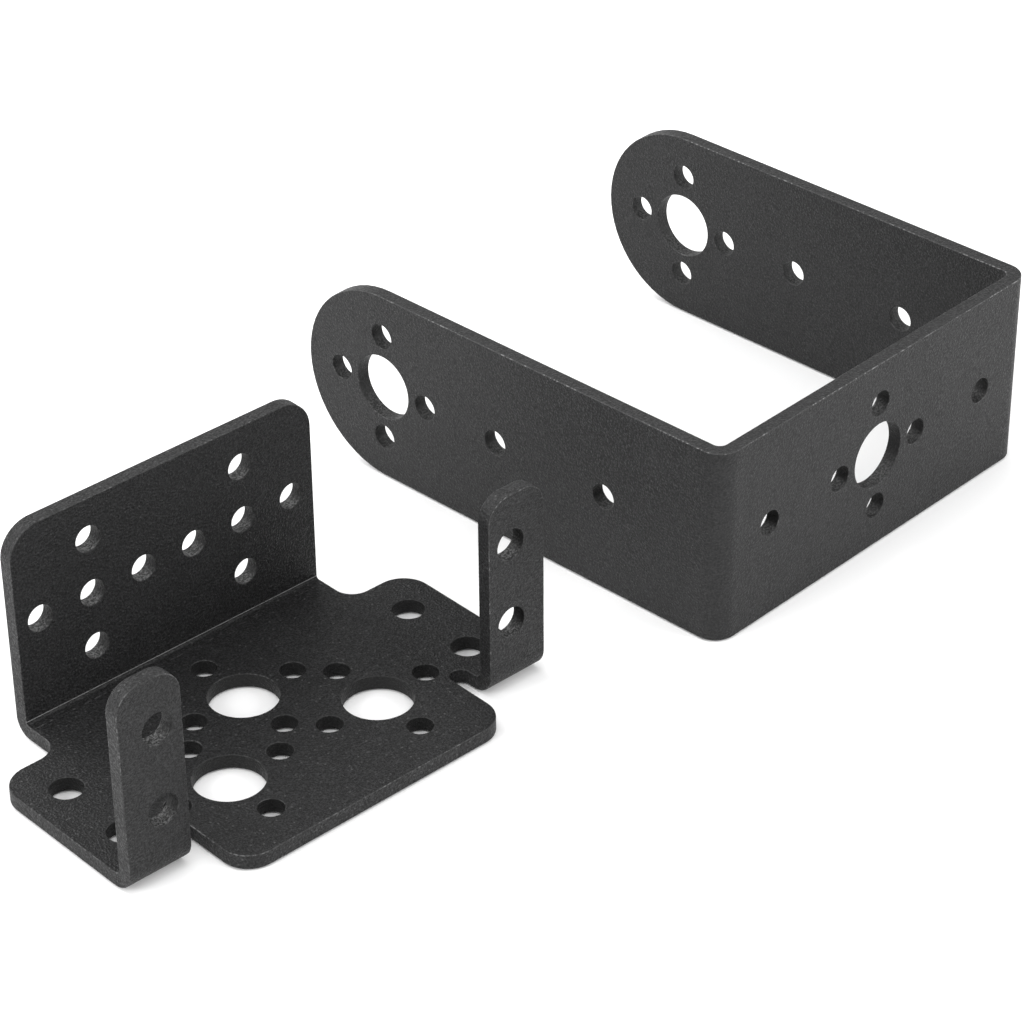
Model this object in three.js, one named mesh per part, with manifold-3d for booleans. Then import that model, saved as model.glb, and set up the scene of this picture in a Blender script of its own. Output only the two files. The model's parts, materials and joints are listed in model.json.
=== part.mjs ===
// The two folded brackets of a pan and tilt camera mount, laid side by side on a flat surface.
// The servo bracket holds a standard-size servo, and the long U bracket swings on its horn.
// Units are millimetres, +Z is up, and the origin is at the bottom centre of the pair.

import * as THREE from 'three';
import { mergeVertices } from 'three/addons/utils/BufferGeometryUtils.js';
import Module from 'manifold-3d';

const wasm = await Module();
wasm.setup();

// ------------------------------------------------------------ driving dimensions

const sheet = 1.8; // thickness of the metal in both brackets
const hornBore = 8.1; // in the servo bracket, clears a servo horn's boss
const bearingBore = 8.4; // in the U bracket, takes a flanged bearing or clears a horn's boss
const hornCircle = 14.0; // diameter of the circle of four screws around a horn bore
const screwHole = 3.2; // clears an M3 screw

// Distances marked "forward" run from the wall's outer face towards the front edge.
const servo = {
  wallWidth: 41.4,
  wallHeight: 26.6,
  wallCornerRadius: 4.0,
  depth: 36.8, // forward, to the front edge
  frontWidth: 37.2,
  frontCornerRadius: 3.5,
  earSpan: 58.2, // over both ears
  earBack: 7.7, // forward, to the ears' rear edge
  earCornerRadius: 3.6,
  neckFillet: 2.5,
  tabFace: 31.2, // forward, to the tabs' outer face
  tabWidth: 8.1,
  tabHeight: 25.5,
  tabCornerRadius: 3.0,
  reliefEnd: 26.3, // forward, to the round end of the slot beside each tab
  wallFoldRadius: 0.3, // inside the fold between wall and base
  tabFoldRadius: 1.0, // inside the fold at the foot of each tab
  wallPatternOffset: 10.5, // either side of the middle
  wallPatternHeight: 14.5,
  baseScrewHole: 3.0,
  rearBore: 13.8, // forward
  frontBores: 24.3, // forward
  frontBoreOffset: 10.5, // either side of the middle
  flangeHole: 3.8, // in the ears and the tabs
  flangeHoleOffset: 24.2, // either side of the middle
  earHoles: [13.8, 23.8], // forward
  tabHoleHeights: [8.8, 19.1],
};

// Distances marked "along" run from the web's outer face towards the arms' round ends.
const yoke = {
  span: 56.4, // over both arms
  length: 65.5, // along, to the round ends
  width: 25.0,
  foldRadius: 1.0, // inside each fold
  armHoles: [17.5, 34.5], // along
  webHoleOffset: 19.5, // either side of the web's middle
};

// Where the U bracket's web lies, from the middle of the servo bracket's wall.
const yokePlace = { x: 74.4, forward: 39.5, turn: THREE.MathUtils.degToRad(3.9) };

const arcSteps = 5; // an arc takes twice as many
const screwHoleSides = 24;
const boreSides = 40;
const beyond = 1.0; // how far a trimming outline runs past the metal
const drillLength = 400.0;

// ------------------------------------------------------------ outlines

// A closed outline through corners [x, y, radius], each rounded by an arc of its own radius.
function roundedOutline(corners) {
  const outline = new THREE.Shape();
  const pointAt = (index) => new THREE.Vector2(corners[index][0], corners[index][1]);
  corners.forEach(([x, y, radius], index) => {
    if (radius === 0) {
      if (index === 0) outline.moveTo(x, y);
      else outline.lineTo(x, y);
      return;
    }
    const corner = pointAt(index);
    const before = pointAt((index + corners.length - 1) % corners.length).sub(corner).normalize();
    const after = pointAt((index + 1) % corners.length).sub(corner).normalize();
    const halfAngle = Math.acos(before.dot(after)) / 2;
    const toCentre = before.clone().add(after).setLength(radius / Math.sin(halfAngle));
    const setback = radius / Math.tan(halfAngle);
    const start = before.multiplyScalar(setback).sub(toCentre);
    const end = after.multiplyScalar(setback).sub(toCentre);
    const centre = corner.add(toCentre);
    const clockwise = start.cross(end) < 0;
    if (index > 0) outline.lineTo(centre.x + start.x, centre.y + start.y);
    outline.absarc(centre.x, centre.y, radius, start.angle(), end.angle(), clockwise);
  });
  return outline;
}

// An outline given by its right half, from front to back, and mirrored in the middle.
function mirroredOutline(rightHalf) {
  const leftHalf = rightHalf.map(([x, y, radius]) => [-x, y, radius]).reverse();
  return roundedOutline([...rightHalf, ...leftHalf]);
}

// Cross-section of a sheet folded at each inner point of a path. The path follows the outer
// face and turns left at each fold, so the metal lies on its left.
function foldedSection(path, foldRadius) {
  const points = path.map(([x, y]) => new THREE.Vector2(x, y));
  const leftOf = (index) => {
    const along = points[index + 1].clone().sub(points[index]).normalize();
    return new THREE.Vector2(-along.y, along.x);
  };
  const last = points.length - 1;
  const outside = [];
  const inside = [];
  points.forEach((point, index) => {
    const isFold = index > 0 && index < last;
    const inward = leftOf(Math.min(index, last - 1));
    if (isFold) inward.add(leftOf(index - 1));
    const inner = point.clone().addScaledVector(inward, sheet);
    outside.push([point.x, point.y, isFold ? foldRadius + sheet : 0]);
    inside.unshift([inner.x, inner.y, isFold ? foldRadius : 0]);
  });
  return roundedOutline([...outside, ...inside]);
}

// The centres of the four screws around a horn bore.
function hornScrews([x, y]) {
  const radius = hornCircle / 2;
  return [[x + radius, y], [x - radius, y], [x, y + radius], [x, y - radius]];
}

// ------------------------------------------------------------ solids

// Each view's outline lies along its first two directions, and is extruded along the third.
const right = new THREE.Vector3(1, 0, 0);
const back = new THREE.Vector3(0, 1, 0);
const up = new THREE.Vector3(0, 0, 1);
const views = {
  top: new THREE.Matrix4().makeBasis(right, back, up),
  front: new THREE.Matrix4().makeBasis(right, up, back.clone().negate()),
  side: new THREE.Matrix4().makeBasis(back, up, right),
};

// A closed geometry as a solid that can be joined and cut.
function solid(geometry) {
  geometry.deleteAttribute('normal');
  geometry.deleteAttribute('uv');
  const merged = mergeVertices(geometry);
  const corners = merged.index.array;
  const triVerts = [];
  for (let i = 0; i < corners.length; i += 3) {
    const [a, b, c] = corners.slice(i, i + 3);
    if (a !== b && b !== c && c !== a) triVerts.push(a, b, c);
  }
  return new wasm.Manifold(new wasm.Mesh({
    numProp: 3,
    vertProperties: merged.attributes.position.array,
    triVerts: new Uint32Array(triVerts),
  }));
}

function extruded(outline, view, from, to) {
  const geometry = new THREE.ExtrudeGeometry(outline, {
    depth: to - from,
    bevelEnabled: false,
    curveSegments: arcSteps,
  });
  geometry.translate(0, 0, from);
  geometry.applyMatrix4(views[view]);
  return solid(geometry);
}

function drilled(metal, view, diameter, centres) {
  const sides = diameter < hornBore ? screwHoleSides : boreSides;
  for (const [x, y] of centres) {
    const drill = new THREE.CylinderGeometry(diameter / 2, diameter / 2, drillLength, sides);
    drill.rotateX(Math.PI / 2);
    drill.translate(x, y, 0);
    drill.applyMatrix4(views[view]);
    metal = metal.subtract(solid(drill));
  }
  return metal;
}

// The wall and the strip of base that it is folded from.
function servoWall() {
  const section = foldedSection(
    [[-servo.earBack - sheet, 0], [0, 0], [0, servo.wallHeight]],
    servo.wallFoldRadius,
  );
  const halfWidth = servo.wallWidth / 2;
  const face = mirroredOutline([
    [halfWidth, -beyond, 0],
    [halfWidth, servo.wallHeight, servo.wallCornerRadius],
  ]);
  const strip = extruded(section, 'side', -halfWidth, halfWidth);
  return strip.intersect(extruded(face, 'front', -beyond, servo.depth));
}

// The base: a neck as wide as the wall, an ear on each side, and the front plate.
function servoBase() {
  const earFront = servo.tabFoldRadius + sheet - servo.tabFace;
  const neckBack = -(servo.wallFoldRadius + sheet);
  const frontHalf = servo.frontWidth / 2;
  const earHalf = servo.earSpan / 2;
  const tabInner = earHalf - servo.tabWidth;
  const slotRadius = (tabInner - frontHalf) / 2;
  const plan = mirroredOutline([
    [frontHalf, -servo.depth, servo.frontCornerRadius],
    [frontHalf, -servo.reliefEnd, slotRadius],
    [tabInner, -servo.reliefEnd, slotRadius],
    [tabInner, earFront, 0],
    [earHalf, earFront, 0],
    [earHalf, -servo.earBack, servo.earCornerRadius],
    [servo.wallWidth / 2, -servo.earBack, servo.neckFillet],
    [servo.wallWidth / 2, neckBack, 0],
  ]);
  return extruded(plan, 'top', 0, sheet);
}

// One tab, folded up from the front of the ear on the right (side 1) or the left (side -1).
function servoTab(side) {
  const foldLength = servo.tabFoldRadius + sheet;
  const section = foldedSection(
    [[-servo.tabFace, servo.tabHeight], [-servo.tabFace, 0], [2 * foldLength - servo.tabFace, 0]],
    servo.tabFoldRadius,
  );
  const outer = side * servo.earSpan / 2;
  const inner = outer - side * servo.tabWidth;
  const face = roundedOutline([
    [outer, -beyond, 0],
    [outer, servo.tabHeight, servo.tabCornerRadius],
    [inner, servo.tabHeight, servo.tabCornerRadius],
    [inner, -beyond, 0],
  ]);
  const strip = extruded(section, 'side', Math.min(inner, outer), Math.max(inner, outer));
  return strip.intersect(extruded(face, 'front', 0, servo.depth));
}

function servoBracket() {
  const rearBore = [0, -servo.rearBore];
  const frontBores = [1, -1].map((side) => [side * servo.frontBoreOffset, -servo.frontBores]);
  const bores = [rearBore, ...frontBores];
  const wallPatterns = [1, -1].map((side) => [side * servo.wallPatternOffset, servo.wallPatternHeight]);
  const earHoles = servo.earHoles.flatMap((forward) => (
    [[servo.flangeHoleOffset, -forward], [-servo.flangeHoleOffset, -forward]]
  ));
  const tabHoles = servo.tabHoleHeights.flatMap((height) => (
    [[servo.flangeHoleOffset, height], [-servo.flangeHoleOffset, height]]
  ));
  let metal = servoBase().add(servoWall()).add(servoTab(1)).add(servoTab(-1));
  metal = drilled(metal, 'top', hornBore, bores);
  metal = drilled(metal, 'top', servo.baseScrewHole, bores.flatMap(hornScrews));
  metal = drilled(metal, 'top', servo.flangeHole, earHoles);
  metal = drilled(metal, 'front', screwHole, [...wallPatterns, ...wallPatterns.flatMap(hornScrews)]);
  return drilled(metal, 'front', servo.flangeHole, tabHoles);
}

// The long U bracket: a web across the front, and two round-ended arms running back from it.
function uBracket() {
  const half = yoke.span / 2;
  const middle = yoke.width / 2;
  const section = foldedSection(
    [[-half, yoke.length], [-half, 0], [half, 0], [half, yoke.length]],
    yoke.foldRadius,
  );
  const armFace = roundedOutline([
    [-beyond, 0, 0],
    [yoke.length, 0, middle],
    [yoke.length, yoke.width, middle],
    [-beyond, yoke.width, 0],
  ]);
  const armBore = [yoke.length - middle, middle];
  const armHoles = yoke.armHoles.map((along) => [along, middle]);
  const webBore = [0, middle];
  const webHoles = [1, -1].map((side) => [side * yoke.webHoleOffset, middle]);
  let metal = extruded(section, 'top', 0, yoke.width);
  metal = metal.intersect(extruded(armFace, 'side', -half - beyond, half + beyond));
  metal = drilled(metal, 'side', bearingBore, [armBore]);
  metal = drilled(metal, 'side', screwHole, [...armHoles, ...hornScrews(armBore)]);
  metal = drilled(metal, 'front', bearingBore, [webBore]);
  return drilled(metal, 'front', screwHole, [...webHoles, ...hornScrews(webBore)]);
}

// ------------------------------------------------------------ scene graph

const powderCoat = { color: 0x2c2c2e, roughness: 0.62, metalness: 0.0, flatShading: true };

function meshOf(name, metal) {
  const { vertProperties, triVerts } = metal.getMesh();
  const geometry = new THREE.BufferGeometry();
  geometry.setAttribute('position', new THREE.BufferAttribute(vertProperties, 3));
  geometry.setIndex(new THREE.BufferAttribute(triVerts, 1));
  const mesh = new THREE.Mesh(geometry, new THREE.MeshStandardMaterial(powderCoat));
  mesh.name = name;
  return mesh;
}

const servoMesh = meshOf('servo_bracket', servoBracket());
const uMesh = meshOf('u_bracket', uBracket());
uMesh.position.set(yokePlace.x, -yokePlace.forward, 0);
uMesh.rotation.z = yokePlace.turn;

const layout = new THREE.Group();
layout.add(servoMesh, uMesh);

// Both brackets stand on the surface, and the origin moves to the bottom centre of the pair.
const bounds = new THREE.Box3().setFromObject(layout, true);
const centre = bounds.getCenter(new THREE.Vector3());
layout.position.set(-centre.x, -centre.y, -bounds.min.z);

const cameraMount = new THREE.Group();
cameraMount.name = 'pan_tilt_camera_mount';
cameraMount.add(layout);

export default cameraMount;
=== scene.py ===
# Two loose folded brackets of a pan and tilt camera mount, in sand-textured black powder coat.
# Each is made as a press shop makes it: a flat blank with its holes, cut edges softened by the
# coat, then folded. Blanks are in millimetres, and meshes are written in metres.
import json
import math
from collections import namedtuple

import bpy
from mathutils import Matrix, Vector
from mathutils.geometry import delaunay_2d_cdt
from mathutils.kdtree import KDTree


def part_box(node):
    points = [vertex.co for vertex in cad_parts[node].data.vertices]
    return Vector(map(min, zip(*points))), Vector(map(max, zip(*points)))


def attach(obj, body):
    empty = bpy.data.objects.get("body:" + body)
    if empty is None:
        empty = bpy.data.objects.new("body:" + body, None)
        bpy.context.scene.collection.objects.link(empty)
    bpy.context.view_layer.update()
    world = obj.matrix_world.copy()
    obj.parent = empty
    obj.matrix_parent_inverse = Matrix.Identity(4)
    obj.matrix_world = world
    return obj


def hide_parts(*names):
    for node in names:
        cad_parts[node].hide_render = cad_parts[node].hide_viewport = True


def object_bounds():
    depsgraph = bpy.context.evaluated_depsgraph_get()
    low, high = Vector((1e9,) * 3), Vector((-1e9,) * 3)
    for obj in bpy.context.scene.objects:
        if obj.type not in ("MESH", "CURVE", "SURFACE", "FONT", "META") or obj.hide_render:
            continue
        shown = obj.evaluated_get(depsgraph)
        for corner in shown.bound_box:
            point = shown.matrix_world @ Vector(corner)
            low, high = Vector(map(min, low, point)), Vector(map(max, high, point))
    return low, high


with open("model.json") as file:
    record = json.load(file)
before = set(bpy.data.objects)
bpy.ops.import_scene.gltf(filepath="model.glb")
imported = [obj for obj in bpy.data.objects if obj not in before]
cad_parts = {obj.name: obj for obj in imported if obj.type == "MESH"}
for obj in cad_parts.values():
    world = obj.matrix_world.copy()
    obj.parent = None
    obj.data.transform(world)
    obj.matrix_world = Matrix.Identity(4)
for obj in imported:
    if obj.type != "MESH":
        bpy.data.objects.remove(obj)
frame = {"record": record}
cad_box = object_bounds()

MM = 0.001
SHEET = 1.8  # thickness of both brackets
SOFT_EDGE = 0.12  # radius that the coat leaves on a cut edge
HOLE_WEAR_AND_SHEEN = 0.5  # a hole's edge is worn, and given painted sheen, this much as far as an outer edge

# How finely the meshes are divided.
GRID = 1.4  # spacing of the points inside a blank
FOLD_CLEARANCE = 0.3  # from a fold's rows to the nearest points of that spacing
TOUCHING = 1e-4  # points of an outline closer than this are one point
WELD = 1e-5  # the same, for the points of a filled face
EDGE_STEPS = 3
FOLD_STEPS = 10
BORE_STEPS = 72
SMALL_HOLE_STEPS = 44
ARC_STEP = math.radians(6)

# A vertex of a flat blank. wear is how far the coat is worn off an edge, and how strong the painted
# sheen on it is. Cut and hole, from
# 0 to 1, say how squarely it faces out of a cut face, and out of a hole's wall.
Spot = namedtuple("Spot", "place normal wear cut hole")

# Radii of the holes, and of the circle of screws around a horn bore.
HORN_BORE = 4.05
BEARING_BORE = 4.2
SCREW_HOLE = 1.6
BASE_SCREW_HOLE = 1.5
FLANGE_HOLE = 1.9
HORN_CIRCLE = 7.0


# ------------------------------------------------------------ blanks

def rounded_outline(corners):
    """Points of a closed outline through corners (x, y, radius), each turned by an arc."""
    points = []
    for index, (x, y, radius) in enumerate(corners):
        corner = Vector((x, y))
        before = (Vector(corners[index - 1][:2]) - corner).normalized()
        after = (Vector(corners[(index + 1) % len(corners)][:2]) - corner).normalized()
        half_angle = before.angle(after) / 2
        centre = corner + (before + after).normalized() * radius / math.sin(half_angle)
        setback = radius / math.tan(half_angle)
        spoke = corner + before * setback - centre
        sweep = spoke.angle_signed(corner + after * setback - centre) * -1
        steps = max(2, round(abs(sweep) / ARC_STEP))
        for step in range(steps + 1):
            points.append(centre + Matrix.Rotation(sweep * step / steps, 2) @ spoke)
    return points


def circle(x, y, radius):
    """A hole's points, clockwise so that the metal is on the left, as it is on an outline."""
    steps = BORE_STEPS if radius >= HORN_BORE else SMALL_HOLE_STEPS
    turns = [-math.tau * step / steps for step in range(steps)]
    return [Vector((x + radius * math.cos(turn), y + radius * math.sin(turn))) for turn in turns]


def mirrored(right_half):
    """All corners (x, y, radius) of an outline, from those of its right half."""
    return right_half + [(-x, y, radius) for x, y, radius in reversed(right_half)]


def horn_holes(x, y, bore_radius, screw_radius):
    """A bore and the four screw holes around it, as (x, y, radius)."""
    holes = [(x, y, bore_radius)]
    for dx, dy in ((1, 0), (0, 1), (-1, 0), (0, -1)):
        holes.append((x + dx * HORN_CIRCLE, y + dy * HORN_CIRCLE, screw_radius))
    return holes


def subdivided(points, rows):
    """The closed outline with long sides split at the grid's spacing and at each fold row."""
    result = []
    for index, start in enumerate(points):
        end = points[(index + 1) % len(points)]
        if (end - start).length < TOUCHING:
            continue
        steps = max(1, round((end - start).length / GRID))
        cuts = [step / steps for step in range(steps)]
        for row in rows:
            if (start.y - row) * (end.y - row) < 0:
                cuts.append((row - start.y) / (end.y - start.y))
        result += [start.lerp(end, cut) for cut in sorted(cuts)]
    return result


def outward_normals(points):
    """At each point of a loop with the metal on its left, the way out of the metal."""
    normals = []
    for index, point in enumerate(points):
        way = (points[(index + 1) % len(points)] - point).normalized()
        way += (point - points[index - 1]).normalized()
        normals.append(Vector((way.y, -way.x)).normalized())
    return normals


# ------------------------------------------------------------ folding

def fold_length(radius):
    """Length of sheet that a square fold takes up, at the middle of its thickness."""
    return (radius + SHEET / 2) * math.pi / 2


def folded(point, normal, fold):
    """Where a blank's point (across, along, depth) and its normal go, once past a square fold.

    Depth counts from the inner face to the outer one. The fold starts at a place along the
    blank, goes way +1 or -1 from there, and has an inside radius.
    """
    start, way, radius = fold
    past = way * (point.y - start)
    length = fold_length(radius)
    angle = min(max(past / length, 0), 1) * math.pi / 2
    reach = radius + point.z
    if angle == 0:
        forward, rise = past, SHEET - point.z
    else:
        forward = reach * math.sin(angle)
        rise = SHEET + radius - reach * math.cos(angle) + max(past - length, 0)
    lean, level = math.sin(angle), math.cos(angle)
    forward_normal = way * normal.y * level + normal.z * lean
    rise_normal = way * normal.y * lean - normal.z * level
    place = Vector((point.x, start + way * forward, rise))
    return place, Vector((normal.x, way * forward_normal, rise_normal))


def edge_rings():
    """Rings around a cut edge, from the inner face to the outer: inset, depth, normal, and wear."""
    rings = []
    for face, step_order in ((-1, range(EDGE_STEPS + 1)), (1, range(EDGE_STEPS, -1, -1))):
        for step in step_order:
            angle = math.pi / 2 * step / EDGE_STEPS
            inset = SOFT_EDGE * (1 - math.sin(angle))
            sunk = SOFT_EDGE * (1 - math.cos(angle))
            depth = sunk if face < 0 else SHEET - sunk
            wear = math.sin(2 * angle)
            rings.append((inset, depth, math.sin(angle), face * math.cos(angle), wear))
    return rings


def inside(point, loop):
    """Whether a point is inside a closed loop.

    A line from it towards greater x then crosses an odd number of the loop's sides.
    """
    result = False
    for index, end in enumerate(loop):
        start = loop[index - 1]
        if (end.y > point.y) != (start.y > point.y):
            crossing = (start.x - end.x) * (point.y - end.y) / (start.y - end.y) + end.x
            if point.x < crossing:
                result = not result
    return result


def in_hole(point, holes):
    """Whether a point is in a hole or on its softened edge."""
    return any(math.hypot(point.x - x, point.y - y) < radius + SOFT_EDGE
               for x, y, radius in holes)


def spread_points(loops, holes, zones):
    """Evenly spaced points inside the blank, clear of its edges and its fold zones."""
    edge_points = [point for loop in loops for point in loop]
    near = KDTree(len(edge_points))
    for index, point in enumerate(edge_points):
        near.insert(point.to_3d(), index)
    near.balance()
    low_x, high_x = min(p.x for p in edge_points), max(p.x for p in edge_points)
    low_y, high_y = min(p.y for p in edge_points), max(p.y for p in edge_points)
    points = []
    row_gap = GRID * math.sqrt(3) / 2
    for row in range(1, int((high_y - low_y) / row_gap)):
        for column in range(int((high_x - low_x) / GRID)):
            x = low_x + GRID * (column + 0.5 + row % 2 / 2)
            point = Vector((x, low_y + row * row_gap))
            if any(left < x < right
                   and rows[0] - FOLD_CLEARANCE < point.y < rows[-1] + FOLD_CLEARANCE
                   for rows, left, right in zones):
                continue
            _, _, distance = near.find(point.to_3d())
            if distance > GRID / 2 and inside(point, loops[0]) and not in_hole(point, holes):
                points.append(point)
    return points


def zone_rows(zones, outline):
    """Points along each fold row, and the pairs of them that a triangle may not cross.

    Each row ends exactly on points of the outline.
    """
    points, pairs = [], []
    for rows, left, right in zones:
        steps = round((right - left) / GRID)
        for y in rows:
            start, end = [
                min(outline, key=lambda point: (point - Vector((x, y))).length)
                for x in (left + SOFT_EDGE, right - SOFT_EDGE)
            ]
            first = len(points)
            points += [start] + [start.lerp(end, i / steps) for i in range(1, steps)] + [end]
            pairs += [(first + i, first + i + 1) for i in range(steps)]
    return points, pairs


def metal_triangles(triangles, rim):
    """The triangles on the left of the rim's edges, and all that join them on the same side."""
    sides = {}
    for index, (a, b, c) in enumerate(triangles):
        for side in ((a, b), (b, c), (c, a)):
            sides[side] = index
    waiting = [sides[side] for side in rim]
    kept = set()
    while waiting:
        index = waiting.pop()
        if index in kept:
            continue
        kept.add(index)
        a, b, c = triangles[index]
        for start, end in ((a, b), (b, c), (c, a)):
            if (start, end) not in rim and (end, start) in sides:
                waiting.append(sides[end, start])
    return [triangles[index] for index in sorted(kept)]


def filled_face(loops, holes, zones):
    """Triangles over the sheet's face, within its loops of edge points.

    Gives the points, the place of each in the loops (None for one inside them), and the
    triangles.
    """
    points = [point for loop in loops for point in loop]
    loop_points = len(points)
    pairs = []
    for loop in loops:
        first = len(pairs)
        pairs += [(first + i, first + (i + 1) % len(loop)) for i in range(len(loop))]
    row_points, row_pairs = zone_rows(zones, loops[0])
    points += row_points + spread_points(loops, holes, zones)
    all_pairs = pairs + [(loop_points + a, loop_points + b) for a, b in row_pairs]
    # Asks for all triangles of the hull, and for the given points behind each new one.
    found = delaunay_2d_cdt(points, all_pairs, [], 0, WELD, True)
    new_points, triangles, sources = found[0], found[2], found[3]
    edge_places = []
    new_index = {}
    for index, olds in enumerate(sources):
        on_edge = [old for old in olds if old < loop_points]
        edge_places.append(on_edge[0] if on_edge else None)
        for old in olds:
            new_index[old] = index
    rim = {(new_index[a], new_index[b]) for a, b in pairs}
    return new_points, edge_places, metal_triangles(triangles, rim)


def flat_bracket(corners, holes, zones):
    """A flat bracket with softened edges, as spots and the faces between them."""
    all_rows = sorted({row for rows, _, _ in zones for row in rows})
    loops = [subdivided(rounded_outline(corners), all_rows)]
    loops += [circle(*hole) for hole in holes]
    rings = edge_rings()
    spots, faces, face_loops = [], [], []
    for loop in loops:
        first = len(spots)
        is_hole = loop is not loops[0]
        outward = outward_normals(loop)
        for point, out in zip(loop, outward):
            for inset, depth, side, face, wear in rings:
                place = (point - out * inset).to_3d() + Vector((0, 0, depth))
                normal = Vector((out.x * side, out.y * side, face))
                rubbed_and_sheen = wear * (HOLE_WEAR_AND_SHEEN if is_hole else 1)
                spots.append(Spot(place, normal, rubbed_and_sheen, side, side * is_hole))
        for index in range(len(loop)):
            here = first + index * len(rings)
            there = first + (index + 1) % len(loop) * len(rings)
            for ring in range(len(rings) - 1):
                faces.append((here + ring + 1, there + ring + 1, there + ring, here + ring))
        face_loops.append([point - out * SOFT_EDGE for point, out in zip(loop, outward)])

    # Both faces of the sheet share one set of triangles, wound the other way on the outer face.
    points, edge_places, triangles = filled_face(face_loops, holes, zones)
    inner, outer = [], []
    for point, place in zip(points, edge_places):
        if place is not None:
            inner.append(place * len(rings))
            outer.append((place + 1) * len(rings) - 1)
            continue
        inner.append(len(spots))
        outer.append(len(spots) + 1)
        spots.append(Spot(Vector((point.x, point.y, 0)), Vector((0, 0, -1)), 0, 0, 0))
        spots.append(Spot(Vector((point.x, point.y, SHEET)), Vector((0, 0, 1)), 0, 0, 0))
    for a, b, c in triangles:
        faces.append((inner[a], inner[b], inner[c]))
        faces.append((outer[c], outer[b], outer[a]))
    return spots, faces


def bracket(name, corners, holes, zones, fold_at, placement):
    """A bracket's piece: flat, then folded and put in its place.

    A zone is the rows across one fold and the sides between which they run, and fold_at gives
    the fold that a point of the blank takes part in.
    """
    spots, faces = flat_bracket(corners, holes, zones)
    placed = [folded(spot.place, spot.normal, fold_at(spot.place)) for spot in spots]
    turn = placement.to_3x3().normalized()
    normals = [turn @ normal for _, normal in placed]
    mesh = bpy.data.meshes.new(name)
    mesh.from_pydata([placement @ place for place, _ in placed], [], faces)
    mesh.shade_smooth()
    mesh.normals_split_custom_set_from_vertices(normals)
    columns = {
        "edge_wear_and_sheen": [spot.wear for spot in spots],
        "cut_face": [spot.cut for spot in spots],
        "hole_wall": [spot.hole for spot in spots],
        "hole_floor": [spot.hole * max(0, normal.z) for spot, normal in zip(spots, normals)],
        "along_blank": [spot.place.y for spot in spots],
        "outer_face": [spot.place.z / SHEET for spot in spots],
    }
    for attribute, column in columns.items():
        mesh.attributes.new(attribute, "FLOAT", "POINT").data.foreach_set("value", column)
    piece = bpy.data.objects.new(name, mesh)
    bpy.context.scene.collection.objects.link(piece)
    return piece


def fold_rows(start, way, radius):
    """The rows across a fold, in rising order."""
    rows = [start + way * fold_length(radius) * step / FOLD_STEPS for step in range(FOLD_STEPS + 1)]
    return sorted(rows)


# ------------------------------------------------------------ the two brackets

def servo_bracket():
    """Base, wall, ears and tabs, with the wall's outer face at y = 0 and the base under it."""
    low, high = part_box("servo_bracket")
    size = (high - low) / MM
    ear_half, depth, wall_height = size.x / 2, size.y, size.z
    wall_half = 20.7
    front_half = 18.6
    tab_width, tab_height, tab_face = 8.1, 25.5, 31.2
    tab_inner = ear_half - tab_width
    slot_radius = (tab_inner - front_half) / 2
    slot_middle = front_half + slot_radius
    slot_end = -26.3
    ear_back = -7.7
    front_corner, tab_corner, ear_corner, wall_corner = 3.5, 3.0, 3.6, 4.0
    neck_fillet = 2.5
    rear_bore, front_bores, front_bore_offset = -13.8, -24.3, 10.5
    pattern_offset, pattern_height = 10.5, 14.5  # the wall's two crosses of five holes
    flange_hole_offset = 24.2
    ear_holes = (-13.8, -23.8)
    tab_hole_heights = (8.8, 19.1)
    wall_radius, tab_radius = 0.3, 1.0
    wall_fold = (-(wall_radius + SHEET), 1, wall_radius)
    tab_fold = (tab_radius + SHEET - tab_face, -1, tab_radius)

    def unrolled(height, fold):
        """Where a height on a folded-up face lies along the blank."""
        start, way, radius = fold
        return start + way * (fold_length(radius) + height - radius - SHEET)

    def fold_at(point):
        on_tab = abs(point.x) > slot_middle and point.y < tab_fold[0]
        return tab_fold if on_tab else wall_fold

    corners = mirrored([
        (front_half, -depth, front_corner),
        (front_half, slot_end, slot_radius),
        (tab_inner, slot_end, slot_radius),
        (tab_inner, unrolled(tab_height, tab_fold), tab_corner),
        (ear_half, unrolled(tab_height, tab_fold), tab_corner),
        (ear_half, ear_back, ear_corner),
        (wall_half, ear_back, neck_fillet),
        (wall_half, unrolled(wall_height, wall_fold), wall_corner),
    ])
    flange_holes = ear_holes + tuple(unrolled(height, tab_fold) for height in tab_hole_heights)
    pattern_place = unrolled(pattern_height, wall_fold)
    holes = horn_holes(0, rear_bore, HORN_BORE, BASE_SCREW_HOLE)
    for side in (1, -1):
        holes += horn_holes(side * front_bore_offset, front_bores, HORN_BORE, BASE_SCREW_HOLE)
        holes += [(side * flange_hole_offset, along, FLANGE_HOLE) for along in flange_holes]
        holes += horn_holes(side * pattern_offset, pattern_place, SCREW_HOLE, SCREW_HOLE)
    zones = [
        (fold_rows(*wall_fold), -wall_half, wall_half),
        (fold_rows(*tab_fold), tab_inner, ear_half),
        (fold_rows(*tab_fold), -ear_half, -tab_inner),
    ]
    heel = Vector(((low.x + high.x) / 2, high.y, low.z))
    placement = Matrix.Translation(heel) @ Matrix.Scale(MM, 4)
    return bracket("servo_bracket_sheet", corners, holes, zones, fold_at, placement)


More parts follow.
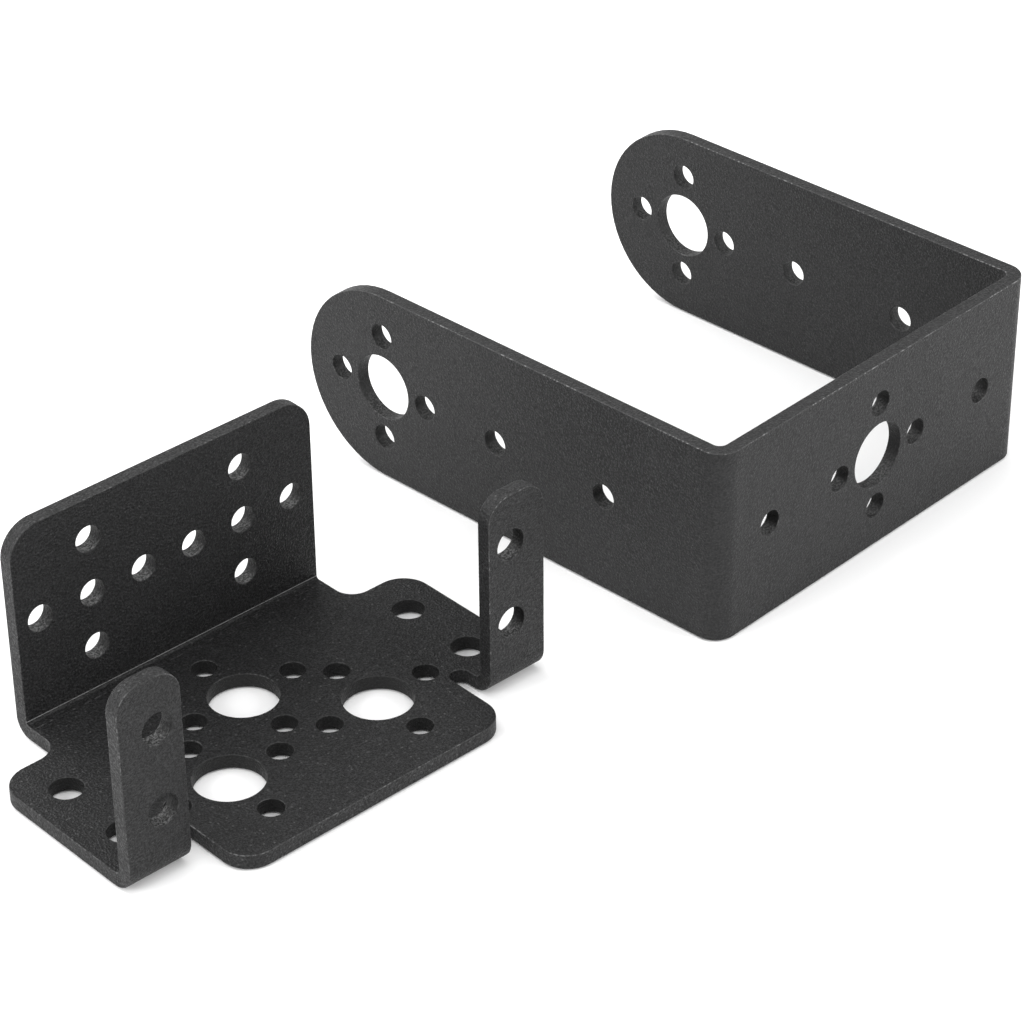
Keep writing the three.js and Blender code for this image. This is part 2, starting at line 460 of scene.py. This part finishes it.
def u_bracket():
    """A web and two round-ended arms, laid where the frame's web mount says."""
    low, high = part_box("u_bracket")
    width = (high.z - low.z) / MM
    middle = width / 2
    half_span = 28.2
    length = 65.5
    radius = 1.0
    arm_holes = (17.5, 34.5)  # from the web's outer face
    web_hole_offset = 19.5
    mount_offset = 13.3  # from the web's mount to its middle
    fold_start = half_span - radius - SHEET
    blank_half = fold_start + fold_length(radius) + length - radius - SHEET

    def on_arm(along):
        """Where a distance from the web's outer face lies along the blank."""
        return blank_half - length + along

    def fold_at(point):
        way = 1 if point.y > 0 else -1
        return (way * fold_start, way, radius)

    corners = [
        (width, -blank_half, middle),
        (width, blank_half, middle),
        (0, blank_half, middle),
        (0, -blank_half, middle),
    ]
    holes = horn_holes(middle, 0, BEARING_BORE, SCREW_HOLE)
    for side in (1, -1):
        holes += horn_holes(middle, side * on_arm(length - middle), BEARING_BORE, SCREW_HOLE)
        holes += [(middle, side * on_arm(along), SCREW_HOLE) for along in arm_holes]
        holes.append((middle, side * web_hole_offset, SCREW_HOLE))
    zones = [(fold_rows(side * fold_start, side, radius), 0, width) for side in (-1, 1)]

    mount = next(m for m in frame["record"]["mounts"] if m["name"] == "web_outer_face")
    facing = Vector(mount["axis"])
    along_web = Vector((-facing.y, facing.x, 0))
    web_middle = Vector(mount["pos_m"]) + along_web * mount_offset * MM
    web_middle.z = low.z
    stand = Matrix((along_web, -facing, (0, 0, 1))).transposed()
    # The blank lies across, along and up; standing, its length runs with the web and the arms.
    cycle = Matrix(((0, 1, 0), (0, 0, 1), (1, 0, 0)))
    placement = Matrix.Translation(web_middle) @ (stand @ cycle).to_4x4() @ Matrix.Scale(MM, 4)
    return bracket("u_bracket_sheet", corners, holes, zones, fold_at, placement)


# ------------------------------------------------------------ materials

# Scales of the patterns, in features per metre.
GRAIN_SCALE = 4300
CLOUD_SCALE = 45
PATCH_SCALE = 420
FLECK_SCALE = 1500
BARE_DOT_SCALE = 2600
WORN_STRETCH_SCALE = 260
HOLE_GLINT_SCALE = 4200
BROKEN_LINE_SCALE = 1300

GRAIN_HEIGHT = 0.00015  # in metres
CUT_RELIEF = 0.7  # of the relief on the faces
COAT_SHINE = 0.33  # 0.5 is the shine of a common plastic
# Colour of the worn dots on the edges, and of the painted sheen along every edge that stands in for
# light on the softened edges.
WORN_METAL_AND_SHEEN = (0.28, 0.28, 0.28)
# Painted shade: a near-black put on every hole's wall, standing in for the shade inside the holes.
HOLE_SHADE_COLOUR = (0.003, 0.003, 0.003)
# Painted glint colour for the up-facing part of the hole walls.
HOLE_GLINT_COLOUR = (0.1, 0.1, 0.1)
# Painted highlight: the pale colour of thin lines along the wall's inner crease, standing in for
# the light it catches.
CREASE_HIGHLIGHT_COLOUR = (0.22, 0.22, 0.22)
WALL_FOLD_END = -0.2  # along the servo bracket's blank
FAINT_LINE = -2.8  # from the painted crease highlight to the fainter one before the fold


class Coat:
    """A black sand-textured powder coat, built node by node.

    Coarseness, from 0 to 1, is how strongly the grains and the painted glints on the hole walls
    show, and rubbed_and_sheen, from 0 to 1, is how strongly the edges are worn through and given
    painted sheen. The painted crease highlight lies at a place along the blank.
    """

    def __init__(self, name, colour, fleck_colour, coarseness, rubbed_and_sheen, crease_highlight_at=None):
        self.material = bpy.data.materials.new(name)
        self.material.use_nodes = True
        self.nodes = self.material.node_tree.nodes
        self.links = self.material.node_tree.links
        self.shader = self.nodes["Principled BSDF"]
        self.place = self.nodes.new("ShaderNodeTexCoord").outputs["Object"]
        grain = self.mapped(self.noise(GRAIN_SCALE, 3), 0.36, 0.64, 0, 1)
        domes = self.mapped(self.cells(GRAIN_SCALE * 0.8, "Distance"), 0, 0.7, 1, 0)
        self.add_bump(self.math("MULTIPLY", grain, domes), 0.5 + 0.5 * coarseness)
        speckle = self.mapped(grain, 0, 1, 1 - coarseness, 1 + coarseness)
        base_colour = self.speckled(colour, fleck_colour, speckle)
        # Painted shade: the hole walls are darkened, standing in for the shade inside the holes.
        base_colour = self.mixed(self.attribute("hole_wall"), base_colour, HOLE_SHADE_COLOUR)
        bare_and_sheen = self.math("MULTIPLY", self.edge_dots_and_sheen(), rubbed_and_sheen)
        # Worn dots on the edges, and a painted sheen along every edge that stands in for the light
        # the softened edges catch.
        base_colour = self.mixed(bare_and_sheen, base_colour, WORN_METAL_AND_SHEEN)
        # Painted highlight: pale specks on the up-facing part of the hole walls, standing in for
        # glints of light from above and behind.
        hole_glints = self.math("MULTIPLY", self.painted_hole_glints(), coarseness)
        base_colour = self.mixed(hole_glints, base_colour, HOLE_GLINT_COLOUR)
        # Painted highlight: thin pale lines along the inner crease of the wall's fold.
        if crease_highlight_at is not None:
            base_colour = self.mixed(self.painted_crease_highlight(crease_highlight_at), base_colour, CREASE_HIGHLIGHT_COLOUR)
        self.links.new(base_colour, self.shader.inputs["Base Color"])
        self.add_roughness(grain)
        self.shader.inputs["Specular IOR Level"].default_value = COAT_SHINE

    def set(self, socket, value):
        """Link a socket, or set a number or colour on it."""
        if isinstance(value, bpy.types.NodeSocket):
            self.links.new(value, socket)
        elif isinstance(value, (tuple, list)):
            socket.default_value = (*value, 1)
        else:
            socket.default_value = value

    def noise(self, scale, detail):
        node = self.nodes.new("ShaderNodeTexNoise")
        node.inputs["Scale"].default_value = scale
        node.inputs["Detail"].default_value = detail
        self.links.new(self.place, node.inputs["Vector"])
        return node.outputs["Fac"]

    def cells(self, scale, output):
        node = self.nodes.new("ShaderNodeTexVoronoi")
        node.inputs["Scale"].default_value = scale
        self.links.new(self.place, node.inputs["Vector"])
        return node.outputs[output]

    def mapped(self, value, low, high, to_low, to_high):
        """A value carried from one range to another, and kept within it."""
        node = self.nodes.new("ShaderNodeMapRange")
        sockets = ("Value", "From Min", "From Max", "To Min", "To Max")
        for socket, number in zip(sockets, (value, low, high, to_low, to_high)):
            self.set(node.inputs[socket], number)
        return node.outputs["Result"]

    def math(self, operation, *values):
        node = self.nodes.new("ShaderNodeMath")
        node.operation = operation
        for socket, value in zip(node.inputs, values):
            self.set(socket, value)
        return node.outputs["Value"]

    def mixed(self, factor, first, second, blend="MIX"):
        """The first colour at a factor of 0, and its full blend with the second at 1."""
        node = self.nodes.new("ShaderNodeMix")
        node.data_type = "RGBA"
        node.blend_type = blend
        # The node has sockets for every type of value, and these are the ones for colours.
        self.set(node.inputs[0], factor)
        self.set(node.inputs[6], first)
        self.set(node.inputs[7], second)
        return node.outputs[2]

    def attribute(self, layer):
        node = self.nodes.new("ShaderNodeAttribute")
        node.attribute_name = layer
        return node.outputs["Fac"]

    def add_bump(self, height, strength):
        """Relief of the grains, lower on the cut faces."""
        node = self.nodes.new("ShaderNodeBump")
        node.inputs["Distance"].default_value = GRAIN_HEIGHT
        cut_strength = strength * CUT_RELIEF
        relief = self.mapped(self.attribute("cut_face"), 0, 1, strength, cut_strength)
        self.links.new(relief, node.inputs["Strength"])
        self.links.new(height, node.inputs["Height"])
        self.links.new(node.outputs["Normal"], self.shader.inputs["Normal"])

    def add_roughness(self, grain):
        """Glossier on the tops of the grains."""
        self.links.new(self.mapped(grain, 0, 1, 0.66, 0.44), self.shader.inputs["Roughness"])

    def painted_crease_highlight(self, crease_highlight_at):
        """Painted highlights: thin pale lines on both sides of a fold, on the inner face, standing
        in for the light that the crease catches.
        """
        along = self.attribute("along_blank")
        # The last number of each comparison is half the line's width, in millimetres.
        line = self.math("COMPARE", along, crease_highlight_at, 0.08)
        faint = self.math("COMPARE", along, crease_highlight_at + FAINT_LINE, 0.07)
        broken = self.mapped(self.noise(BROKEN_LINE_SCALE, 2), 0.52, 0.6, 0, 0.2)
        highlight_lines = self.math("MAXIMUM", line, self.math("MULTIPLY", faint, broken))
        inner = self.math("LESS_THAN", self.attribute("outer_face"), 0.01)
        return self.math("MULTIPLY", highlight_lines, inner)

    def edge_dots_and_sheen(self):
        """Painted sheen all along the edges, standing in for the light that the softened edges
        catch, and small dots of worn-through metal scattered on them.
        """
        dots = self.mapped(self.noise(BARE_DOT_SCALE, 4), 0.5, 0.6, 0, 1)
        stretches = self.mapped(self.noise(WORN_STRETCH_SCALE, 2), 0.4, 0.6, 0.05, 1)
        # The lowest value, 0.15, is a painted sheen along every edge; the dots above it are
        # worn-through coat.
        scattered = self.mapped(self.math("MULTIPLY", dots, stretches), 0, 1, 0.15, 1)
        return self.math("MULTIPLY", self.attribute("edge_wear_and_sheen"), scattered)

    def painted_hole_glints(self):
        """Painted glints: pale specks on the part of a hole's wall that faces up, standing in for
        the light from above and behind that catches it.
        """
        specks = self.mapped(self.noise(HOLE_GLINT_SCALE, 4), 0.46, 0.6, 0, 1)
        facing_up = self.mapped(self.attribute("hole_floor"), 0.4, 0.9, 0, 1)
        return self.math("MULTIPLY", specks, facing_up)

    def speckled(self, colour, fleck_colour, speckle):
        """The coat's black, cloudy and grained, with a few pale flecks."""
        shade = self.mapped(self.noise(CLOUD_SCALE, 2), 0.3, 0.7, 0, 1)
        patch = self.mapped(self.noise(PATCH_SCALE, 2), 0.3, 0.7, 0, 1)
        darker, lighter = [[channel * share for channel in colour] for share in (0.75, 1.3)]
        cloud = self.math("MULTIPLY_ADD", shade, 0.5, self.math("MULTIPLY", patch, 0.5))
        base = self.mixed(cloud, darker, lighter)
        base = self.mixed(1.0, base, speckle, "MULTIPLY")
        dots = self.mapped(self.cells(FLECK_SCALE, "Distance"), 0.1, 0.24, 1, 0)
        picked = self.math("GREATER_THAN", self.cells(FLECK_SCALE, "Color"), 0.6)
        return self.mixed(self.math("MULTIPLY", dots, picked), base, fleck_colour)


# ------------------------------------------------------------ the studio

# The soft boxes, in metres and watts: name, place, side and power.
SOFT_BOXES = (
    ("overhead", (-0.1, -0.2, 0.9), 0.8, 2.4),
    ("front_right", (0.5, -0.7, 0.45), 0.5, 4.7),
    ("back_right", (0.55, 0.6, 0.55), 0.5, 0.8),
    ("back", (-0.2, 0.8, 0.6), 0.6, 5.4),
    ("left", (-0.9, 0.1, 0.5), 0.5, 5.5),
)
LIT_POINT = (0, 0, 0.01)
FLOOR_HALF = 3.0
FLOOR_GAP = 0.0002  # the floor lies this far under the brackets, so that faces never meet


def add_floor():
    mesh = bpy.data.meshes.new("floor")
    low, high = -FLOOR_HALF, FLOOR_HALF
    corners = [(low, low, 0), (high, low, 0), (high, high, 0), (low, high, 0)]
    mesh.from_pydata(corners, [], [(0, 1, 2, 3)])
    floor = bpy.data.objects.new("floor", mesh)
    floor.location.z = cad_box[0][2] - FLOOR_GAP
    bpy.context.scene.collection.objects.link(floor)
    material = bpy.data.materials.new("pale_floor")
    material.use_nodes = True
    shader = material.node_tree.nodes["Principled BSDF"]
    shader.inputs["Base Color"].default_value = (0.97, 0.97, 0.97, 1)
    shader.inputs["Roughness"].default_value = 0.9
    shader.inputs["Specular IOR Level"].default_value = 0.1
    floor.data.materials.append(material)


def add_light(name, place, side, power):
    """A square soft box at a place, facing the middle of the brackets."""
    lamp = bpy.data.lights.new(name, "AREA")
    lamp.shape = "SQUARE"
    lamp.size = side
    lamp.energy = power
    light = bpy.data.objects.new(name, lamp)
    light.location = place
    away = Vector(place) - Vector(LIT_POINT)
    light.rotation_euler = away.to_track_quat("Z", "Y").to_euler()
    bpy.context.scene.collection.objects.link(light)


def add_studio():
    scene = bpy.context.scene
    world = bpy.data.worlds.new("studio")
    world.use_nodes = True
    world.node_tree.nodes["Background"].inputs["Color"].default_value = (1, 1, 1, 1)
    world.node_tree.nodes["Background"].inputs["Strength"].default_value = 0.8
    scene.world = world
    scene.view_settings.view_transform = "Standard"
    for soft_box in SOFT_BOXES:
        add_light(*soft_box)


def add_camera():
    """The view from the front left, looking down on the pair."""
    azimuth, elevation, roll = (math.radians(angle) for angle in (-42.44, 33.3, -0.57))
    target = Vector((0.0098, -0.0004, 0.0018))
    distance = 0.4176
    back = Vector((
        math.sin(azimuth) * math.cos(elevation),
        -math.cos(azimuth) * math.cos(elevation),
        math.sin(elevation),
    ))
    camera = bpy.data.objects.new("camera", bpy.data.cameras.new("camera"))
    camera.data.sensor_width = 36.0
    camera.data.lens = 123.6
    camera.location = target + back * distance
    level = back.to_track_quat("Z", "Y").to_matrix()
    camera.rotation_euler = (level @ Matrix.Rotation(roll, 3, "Z")).to_euler()
    bpy.context.scene.collection.objects.link(camera)
    bpy.context.scene.camera = camera


add_camera()
add_studio()
add_floor()

servo = servo_bracket()
servo_coat = Coat(
    "servo_bracket_coat",
    colour=(0.0084, 0.0084, 0.0087),
    fleck_colour=(0.055, 0.055, 0.055),
    coarseness=1.0,
    rubbed_and_sheen=0.45,
    crease_highlight_at=WALL_FOLD_END,
)
servo.data.materials.append(servo_coat.material)
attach(servo, "servo_bracket")
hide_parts("servo_bracket")

yoke = u_bracket()
yoke_coat = Coat(
    "u_bracket_coat",
    colour=(0.0089, 0.0089, 0.0092),
    fleck_colour=(0.02, 0.02, 0.02),
    coarseness=0.45,
    rubbed_and_sheen=0.75,
)
yoke.data.materials.append(yoke_coat.material)
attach(yoke, "u_bracket")
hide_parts("u_bracket")
